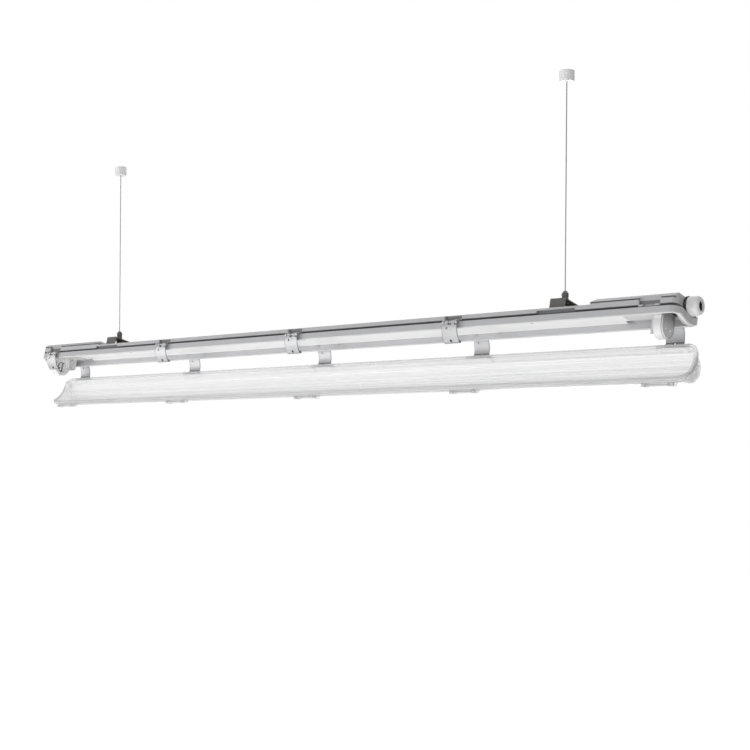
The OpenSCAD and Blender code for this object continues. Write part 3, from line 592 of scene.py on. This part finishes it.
@dataclass(frozen=True)
class ClearPlastic:
    """Clear plastic with fine prisms along the trough, a plain rim and plain ends, with painted shade along
    its prism lines, rim lines and lug edges and where it is seen edge on.
    """

    name: str
    colour: Colour
    cover: float = 0.3
    turn: float = -52.0
    shift: Triple = (0.0015, 0.298052, 0.242072)
    trough_drop: float = 0.0015
    prisms: float = 40.0
    rim_half: float = 0.03
    rim_width: float = 0.0056
    rim_line: Pair = (0.0004, 0.0009)
    inner_line: Pair = (0.0003, 0.0008)
    rim_bottom: float = -0.012
    bow: Pair = (0.121, 0.513)
    lug_half: float = 0.0165
    lug_edge: Pair = (0.001, 0.0016)
    lug_side: float = 0.0312
    dark_share: float = 0.34
    index: float = 1.49

    def build(self) -> bpy.types.Material:
        """Make the material."""
        sheet = Sheet(self.name)
        x, y, z = sheet.turned(self.shift, math.radians(self.turn))
        angle = (z + self.trough_drop).angle_to(y)
        side = y.size()
        bow_radius, bow_start = self.bow
        out = (x.size() - bow_start).most(0.0)
        edge = (self.rim_half - side).least(bow_radius - out.reach(y))
        inner = (edge - self.rim_width).size()
        lip = (1.0 - edge.rise(*self.rim_line)).most(1.0 - inner.rise(*self.inner_line))
        lip = lip * z.above(self.rim_bottom)
        lug = 1.0 - (x.fold(HALF_PITCH) - self.lug_half).size().rise(*self.lug_edge)
        lug = lug * side.above(self.lug_side)
        ribs = sheet.noise(1.0, 2.0, sheet.join(x * 0.7, angle * self.prisms / math.pi, 0.0))
        broad = sheet.noise(1.0, 2.0, sheet.join(x * 3.0, angle * 3.0, 4.0))
        line = (angle * self.prisms * 2.0).sine() * 0.5 + 0.5
        milky = (ribs * 1.6 - 0.35).clamped()
        facing = sheet.node("ShaderNodeLayerWeight", {}, {"Blend": 0.5}, "Facing").power(3.0)
        # Painted shade: rim lines, lug edges and prism lines are darkened, and the cover darkens where it is
        # seen edge on.
        shade = (milky * 0.34 + line * 0.1 + lip * 0.4 + facing * 0.36).most(lug).clamped()
        alpha = milky * 0.34 + line * 0.08 + broad * 0.08 + facing * 0.4 + (self.cover - 0.2)
        alpha = alpha.most(lip * 0.6).most(lug * 0.9)
        colour = sheet.mix(shade, self.colour, darker(self.colour, self.dark_share))
        return sheet.finish(sheet.principled(Base_Color=colour, Alpha=alpha.clamped(),
                                             Roughness=broad * 0.08 + 0.1, IOR=self.index,
                                             Normal=sheet.bump(line, 0.35, 0.0005)))


class Finish(Enum):
    """Every finish on the light."""

    CANOPY = CanopyPlastic("canopy_grey", grey(0.70, 0.006))
    SEAL = Moulded("seal_foam", grey(0.86), rough=0.8, grain=0.3)
    TRAY = TrayPaint("tray_white", grey(0.93))
    SCREW = SheetSteel("screw_plate", grey(0.42), rough=0.4)
    TERMINAL = Moulded("terminal_white", grey(0.92), rough=0.35)
    BRASS = SheetSteel("contact_brass", srgb(0.82, 0.68, 0.38), rough=0.28)
    LIVE = Moulded("lead_brown", srgb(0.42, 0.24, 0.14), rough=0.5)
    NEUTRAL = Moulded("lead_blue", srgb(0.16, 0.3, 0.66), rough=0.5)
    HOLDER = HolderPlastic("holder_white", grey(0.93))
    HOLDER_CAP = CapPlastic("holder_cap_grey", grey(0.78))
    GLAND = GlandPlastic("gland_grey", grey(0.9))
    GLAND_RUBBER = Moulded("gland_black", grey(0.05), rough=0.7, grain=0.2)
    CLIP = ClipSteel("clip_steel", grey(0.64, 0.008), metal=0.35)
    COVER = ClearPlastic("cover_clear", grey(0.97, 0.004))
    BRACKET = Coated("bracket_dark", srgb(0.35, 0.34, 0.33), rough=0.42, peel=0.15)
    GRIPPER = Coated("gripper_dark", srgb(0.27, 0.26, 0.25), rough=0.36, peel=0.06)
    WIRE = StrandedWire("wire_steel", grey(0.62))
    CUP = Coated("cup_grey", grey(0.9), rough=0.35, peel=0.05)
    BASE = SheetSteel("base_plate", grey(0.78), rough=0.35)


SLOT_FINISH: dict[str, Finish] = {
    "canopy_plastic": Finish.CANOPY, "seal_rubber": Finish.SEAL, "tray_paint": Finish.TRAY,
    "screw_steel": Finish.SCREW, "terminal_plastic": Finish.TERMINAL, "contact_brass": Finish.BRASS,
    "live_lead": Finish.LIVE, "neutral_lead": Finish.NEUTRAL, "holder_plastic": Finish.HOLDER,
    "holder_cap_plastic": Finish.HOLDER_CAP, "gland_plastic": Finish.GLAND,
    "gland_rubber": Finish.GLAND_RUBBER, "clip_steel": Finish.CLIP, "clear_plastic": Finish.COVER,
    "bracket_steel": Finish.BRACKET, "gripper_steel": Finish.GRIPPER, "wire_steel": Finish.WIRE,
    "cup_paint": Finish.CUP, "base_steel": Finish.BASE,
}


class Wardrobe:
    """Keeps one material for each finish."""

    def __init__(self) -> None:
        """Start with no materials made."""
        self.made: dict[Finish, bpy.types.Material] = {}

    def get(self, finish: Finish) -> bpy.types.Material:
        """Return the material of a finish, made on first use."""
        if finish not in self.made:
            self.made[finish] = finish.value.build()
        return self.made[finish]

    def dress_frame(self) -> None:
        """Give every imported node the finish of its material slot."""
        slots = {part["node"]: part["material_slot"] for part in frame["record"]["subparts"]}
        for name, node in frame["nodes"].items():
            material = self.get(SLOT_FINISH[slots[name]])
            if node.material_slots:
                for holder in node.material_slots:
                    holder.material = material
            else:
                node.data.materials.append(material)
            LOG.info("node %s wears %s", name, material.name)


# The studio

@dataclass
class Studio:
    """Camera, lamps and background."""

    camera_place: Triple = (1.3863, -1.4732, -0.5085)
    sight: Pair = (-0.6483, 0.7614)
    film: float = 36.0
    focal: float = 63.84
    farthest: float = 40.0
    rise: float = 0.1153
    roll: float = 0.43
    aim: Triple = (0.0, 0.0, -0.34)
    floor_height: float = -1.25
    floor_size: float = 14.0
    floor_grey: float = 0.9
    floor_glow: float = 0.95
    sky: float = 0.16
    key_power: float = 50.0
    fill_power: float = 55.0
    back_power: float = 30.0
    under_power: float = 15.0
    top_power: float = 18.0

    def camera(self) -> None:
        """Place the camera where the photograph was taken from."""
        data = bpy.data.cameras.new("photo_camera")
        data.sensor_width = self.film
        data.lens = self.focal
        data.shift_y = self.rise
        data.clip_end = self.farthest
        item = bpy.data.objects.new("photo_camera", data)
        bpy.context.collection.objects.link(item)
        forward = Vector((*self.sight, 0.0)).normalized()
        right = forward.cross(Vector((0, 0, 1)))
        turn = math.radians(self.roll)
        up = Vector((0, 0, 1)) * math.cos(turn) - right * math.sin(turn)
        side = right * math.cos(turn) + Vector((0, 0, 1)) * math.sin(turn)
        pose = Matrix((side, up, -forward)).transposed().to_4x4()
        pose.translation = Vector(self.camera_place)
        item.matrix_world = pose
        bpy.context.scene.camera = item

    def lamp(self, name: str, place: Triple, size: float, power: float, slide: float = 0.0) -> None:
        """Add a square soft lamp that looks at the light.

        Args:
            name: name of the lamp.
            place: where it is, in metres.
            size: length of its side.
            power: its power in watts.
            slide: how far along the light it aims, from the middle.
        """
        data = bpy.data.lights.new(name, "AREA")
        data.size = size
        data.energy = power
        item = bpy.data.objects.new(name, data)
        bpy.context.collection.objects.link(item)
        item.location = place
        aim = Vector(self.aim) + Vector((slide, 0.0, 0.0))
        item.rotation_euler = (aim - Vector(place)).to_track_quat("-Z", "Y").to_euler()

    def world(self) -> None:
        """Light all round softly, and show plain white to the camera, through clear things and in gloss."""
        world = bpy.data.worlds.new("studio")
        bpy.context.scene.world = world
        world.use_nodes = True
        tree = world.node_tree
        tree.nodes.clear()
        output = tree.nodes.new("ShaderNodeOutputWorld")
        shown = tree.nodes.new("ShaderNodeBackground")
        shown.inputs["Color"].default_value = WHITE
        shown.inputs["Strength"].default_value = 1.0
        soft = tree.nodes.new("ShaderNodeBackground")
        soft.inputs["Color"].default_value = WHITE
        soft.inputs["Strength"].default_value = self.sky
        path = tree.nodes.new("ShaderNodeLightPath")
        seen = path.outputs["Is Camera Ray"]
        for kind in ("Is Transmission Ray", "Is Glossy Ray"):
            both = tree.nodes.new("ShaderNodeMath")
            both.operation = "MAXIMUM"
            tree.links.new(seen, both.inputs[0])
            tree.links.new(path.outputs[kind], both.inputs[1])
            seen = both.outputs[0]
        blend = tree.nodes.new("ShaderNodeMixShader")
        tree.links.new(seen, blend.inputs[0])
        tree.links.new(soft.outputs[0], blend.inputs[1])
        tree.links.new(shown.outputs[0], blend.inputs[2])
        tree.links.new(blend.outputs[0], output.inputs["Surface"])

    def floor(self) -> None:
        """Add the plain white floor far under the light, clear when seen from below."""
        bpy.ops.mesh.primitive_plane_add(size=self.floor_size, location=(0, 0, self.floor_height))
        item = bpy.context.object
        item.name = "studio_floor"
        sheet = Sheet("studio_white")
        diffuse = sheet.node("ShaderNodeBsdfDiffuse", {}, {"Color": darker(WHITE, self.floor_grey)})
        glow = sheet.node("ShaderNodeEmission", {}, {"Color": WHITE, "Strength": self.floor_glow})
        both = sheet.node("ShaderNodeAddShader", {}, {0: diffuse, 1: glow})
        seen = sheet.node("ShaderNodeLightPath", {}, {}, "Is Camera Ray").most(
            sheet.node("ShaderNodeLightPath", {}, {}, "Is Glossy Ray"))
        plain = sheet.node("ShaderNodeMixShader", {}, {0: seen, 1: diffuse, 2: both})
        under = sheet.node("ShaderNodeNewGeometry", {}, {}, "Backfacing")
        clear = sheet.node("ShaderNodeBsdfTransparent", {}, {})
        shader = sheet.node("ShaderNodeMixShader", {}, {0: under, 1: plain, 2: clear})
        item.data.materials.append(sheet.finish(shader))

    def build(self) -> None:
        """Set up the whole studio."""
        bpy.context.scene.view_settings.view_transform = "Standard"
        self.camera()
        self.world()
        self.lamp("key", (2.3, -2.6, -0.85), 1.7, self.key_power, slide=0.1)
        self.lamp("fill", (-2.2, -2.1, -0.8), 1.7, self.fill_power, slide=-0.1)
        self.lamp("back", (-0.4, 2.4, -0.65), 1.8, self.back_power)
        self.lamp("under", (0.0, -0.3, -1.2), 2.2, self.under_power)
        self.lamp("top", (0.0, 0.3, 1.3), 2.2, self.top_power)
        self.floor()


# Wires

@dataclass
class SteelWire:
    """One stranded steel wire from its gripper to its ceiling cup."""

    side: float
    bottom: float = 0.0086 - AXIS_DROP
    top: float = -0.0124
    radius: float = 0.00075
    points: int = 15

    def build(self, hand: str, wardrobe: Wardrobe) -> None:
        """Args:
            hand: "left" or "right", the end of the light that it holds.
            wardrobe: where its finish comes from.
        """
        name = f"steel_wire_{hand}"
        data = bpy.data.curves.new(name, "CURVE")
        data.dimensions = "3D"
        data.bevel_depth = self.radius
        data.bevel_resolution = 3
        data.use_fill_caps = True
        line = data.splines.new("POLY")
        line.points.add(self.points - 1)
        x = self.side * WIRE_SIDE
        for i, point in enumerate(line.points):
            z = self.bottom + (self.top - self.bottom) * i / (self.points - 1)
            point.co = (x, 0.0, z, 1.0)
        item = bpy.data.objects.new(name, data)
        bpy.context.collection.objects.link(item)
        data.materials.append(wardrobe.get(Finish.WIRE))
        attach(item, "suspension")
        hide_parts(f"wire_{hand}")
        LOG.info("piece %s", name)


# Small pieces, modelled in the fitting's own frame

def under_ceiling() -> Matrix:
    """Return the move from the fitting's own frame to its place under the ceiling."""
    return (Matrix.Translation((0.0, 0.0, -AXIS_DROP)) @ Matrix.Rotation(-TILT, 4, "X")
            @ Matrix.Translation((0.0, 0.0, -AXIS_HEIGHT)))


class Maker:
    """Shapes a piece with the modelling operators, as by hand."""

    smooth_angle = math.radians(35)
    facing = 0.99

    def __init__(self, name: str) -> None:
        """Start a piece of that name."""
        self.name = name

    def block(self, low: Sequence[float], high: Sequence[float]) -> "Maker":
        """Start from a block between two corners in metres."""
        centre = [(a + b) / 2 for a, b in zip(low, high)]
        bpy.ops.object.select_all(action="DESELECT")
        bpy.ops.mesh.primitive_cube_add(size=1.0, location=centre)
        return self.settle([b - a for a, b in zip(low, high)])

    def barrel(self, place: Sequence[float], radius: float, length: float, axis: str,
               sides: int = 32) -> "Maker":
        """Start from a round bar, centred at a place, along one axis."""
        turn = {"X": (0.0, math.pi / 2, 0.0), "Y": (math.pi / 2, 0.0, 0.0), "Z": (0.0, 0.0, 0.0)}[axis]
        bpy.ops.object.select_all(action="DESELECT")
        bpy.ops.mesh.primitive_cylinder_add(vertices=sides, radius=radius, depth=length, location=place,
                                            rotation=turn)
        return self.settle([1.0, 1.0, 1.0])

    def settle(self, scale: Sequence[float]) -> "Maker":
        """Put the new object's place and size into its mesh."""
        self.item = bpy.context.object
        self.item.name = self.name
        self.item.scale = scale
        bpy.ops.object.transform_apply(location=True, rotation=True, scale=True)
        return self

    def faces(self, normal: Sequence[float]) -> None:
        """Go into edit mode with the faces that look one way selected."""
        bpy.ops.object.mode_set(mode="EDIT")
        bpy.ops.mesh.select_mode(type="FACE")
        bpy.ops.mesh.select_all(action="DESELECT")
        mesh = bmesh.from_edit_mesh(self.item.data)
        aim = Vector(normal)
        for face in mesh.faces:
            if face.normal.dot(aim) > self.facing:
                face.select_set(True)
        bmesh.update_edit_mesh(self.item.data)

    def step(self, normal: Sequence[float], inset: float, depth: float) -> "Maker":
        """Inset the faces that look one way and move them out by a depth, or in where it is negative."""
        self.faces(normal)
        bpy.ops.mesh.inset(thickness=inset, depth=0.0)
        aim = Vector(normal)
        bpy.ops.mesh.extrude_region_move(TRANSFORM_OT_translate={"value": tuple(aim * depth)})
        bpy.ops.object.mode_set(mode="OBJECT")
        return self

    def round_off(self, width: float, segments: int = 2) -> "Maker":
        """Round the edges."""
        bevel = self.item.modifiers.new("edges", "BEVEL")
        bevel.width = width
        bevel.segments = segments
        bevel.limit_method = "ANGLE"
        bpy.context.view_layer.objects.active = self.item
        bpy.ops.object.modifier_apply(modifier=bevel.name)
        return self

    def finish(self, body: str, slot: str, wardrobe: Wardrobe, place: Matrix) -> bpy.types.Object:
        """Move the piece to its place, dress it and let it ride on a body."""
        self.item.data.transform(place)
        bpy.ops.object.select_all(action="DESELECT")
        self.item.select_set(True)
        bpy.context.view_layer.objects.active = self.item
        bpy.ops.object.shade_smooth_by_angle(angle=self.smooth_angle)
        self.item.data.materials.clear()
        self.item.data.materials.append(wardrobe.get(SLOT_FINISH[slot]))
        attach(self.item, body)
        LOG.info("piece %s", self.name)
        return self.item

    def repeat(self, moves: Sequence[Matrix]) -> "Maker":
        """Copy the piece to every place, each copy with its own mesh, and join the copies."""
        first = self.item
        copies = []
        for move in moves:
            copy = first.copy()
            copy.data = first.data.copy()
            copy.data.transform(move)
            bpy.context.collection.objects.link(copy)
            copies.append(copy)
        old = first.data
        bpy.data.objects.remove(first)
        bpy.data.meshes.remove(old)
        bpy.ops.object.select_all(action="DESELECT")
        for copy in copies:
            copy.select_set(True)
        bpy.context.view_layer.objects.active = copies[0]
        bpy.ops.object.join()
        self.item = bpy.context.object
        self.item.name = self.name
        return self


@dataclass
class InnerWeb:
    """The webs inside the canopy that close the wiring space beside a holder."""

    inner: float = 0.0154
    outer: float = 0.0242
    bottom: float = 0.0080
    top: float = 0.0092
    ledge: float = 0.0010
    lip: float = 0.0003
    round_edge: float = 0.0002

    def build(self, name: str, start: float, end: float, wardrobe: Wardrobe) -> None:
        """Make both webs at one end.

        Args:
            name: name of the piece.
            start: where the webs start along the fitting.
            end: where they end.
            wardrobe: where the finish comes from.
        """
        maker = Maker(name).block((start, self.inner, self.bottom), (end, self.outer, self.top))
        maker.step((0, 0, -1), self.ledge, -self.lip).round_off(self.round_edge)
        maker.repeat([Matrix.Identity(4), Matrix.Translation((0.0, -self.inner - self.outer, 0.0))])
        maker.finish("fitting", "canopy_plastic", wardrobe, under_ceiling())


@dataclass
class PivotFittings:
    """Bushes on the free stub pins, and the heads of all the pins."""

    pivot_side: float = 0.0294
    pivot_height: float = 0.0103
    bush_radius: float = 0.0015
    bush_length: float = 0.0042
    bush_place: float = 0.0103
    head_radius: float = 0.0011
    head_rise: float = 0.0008
    head_place: float = 0.0137
    inset: float = 0.0004
    bore: float = 0.0004
    crown: float = 0.0002
    round_edge: float = 0.0001

    def bushes(self, wardrobe: Wardrobe) -> None:
        """Make the two bushes where no link is fitted."""
        x = 2 * CLIP_PITCH
        maker = Maker("pin_bushes").barrel((0, 0, 0), self.bush_radius, self.bush_length, "X", 24)
        maker.step((1, 0, 0), self.inset, -self.bore).step((-1, 0, 0), self.inset, -self.bore)
        maker.round_off(self.round_edge)
        maker.repeat([Matrix.Translation((x + side * self.bush_place, -self.pivot_side, self.pivot_height))
                      for side in (-1, 1)])
        maker.finish("fitting", "clip_steel", wardrobe, under_ceiling())

    def heads(self, wardrobe: Wardrobe) -> None:
        """Make the peened head at each end of every pin."""
        maker = Maker("pin_heads").barrel((0, 0, 0), self.head_radius, self.head_rise, "X", 16)
        maker.step((1, 0, 0), self.inset, self.crown).step((-1, 0, 0), self.inset, self.crown)
        maker.round_off(self.round_edge)
        reach = self.head_place + self.head_rise / 2
        maker.repeat([Matrix.Translation((index * CLIP_PITCH + end * reach, side * self.pivot_side,
                                          self.pivot_height))
                      for index in range(-2, 3) for end in (-1, 1) for side in (-1, 1)])
        maker.finish("fitting", "clip_steel", wardrobe, under_ceiling())


@dataclass
class GripperRing:
    """The turned ring round a wire gripper."""

    height: float = 0.0152
    radius: float = 0.0048
    length: float = 0.0018
    inset: float = 0.0004
    rise: float = 0.0002
    round_edge: float = 0.00015

    def build(self, hand: str, side: float, wardrobe: Wardrobe) -> None:
        """Make the ring of one gripper.

        Args:
            hand: "left" or "right".
            side: -1 at the left and 1 at the right.
            wardrobe: where the finish comes from.
        """
        place = (side * WIRE_SIDE, 0.0, self.height - AXIS_DROP)
        maker = Maker(f"gripper_ring_{hand}").barrel(place, self.radius, self.length, "Z", 40)
        maker.step((0, 0, 1), self.inset, self.rise).step((0, 0, -1), self.inset, self.rise)
        maker.round_off(self.round_edge)
        maker.finish("suspension", "gripper_steel", wardrobe, Matrix.Identity(4))


def main() -> None:
    """Build the studio and dress the light, piece by piece."""
    logging.basicConfig(level=logging.INFO, format="%(message)s")
    wardrobe = Wardrobe()
    Studio().build()
    SteelWire(-1.0).build("left", wardrobe)
    SteelWire(1.0).build("right", wardrobe)
    wardrobe.dress_frame()
    InnerWeb().build("inner_webs_right", 0.547, 0.626, wardrobe)
    InnerWeb().build("inner_webs_left", -0.626, -0.554, wardrobe)
    PivotFittings().bushes(wardrobe)
    PivotFittings().heads(wardrobe)
    GripperRing().build("left", -1.0, wardrobe)
    GripperRing().build("right", 1.0, wardrobe)


if __name__ == "__main__":
    main()
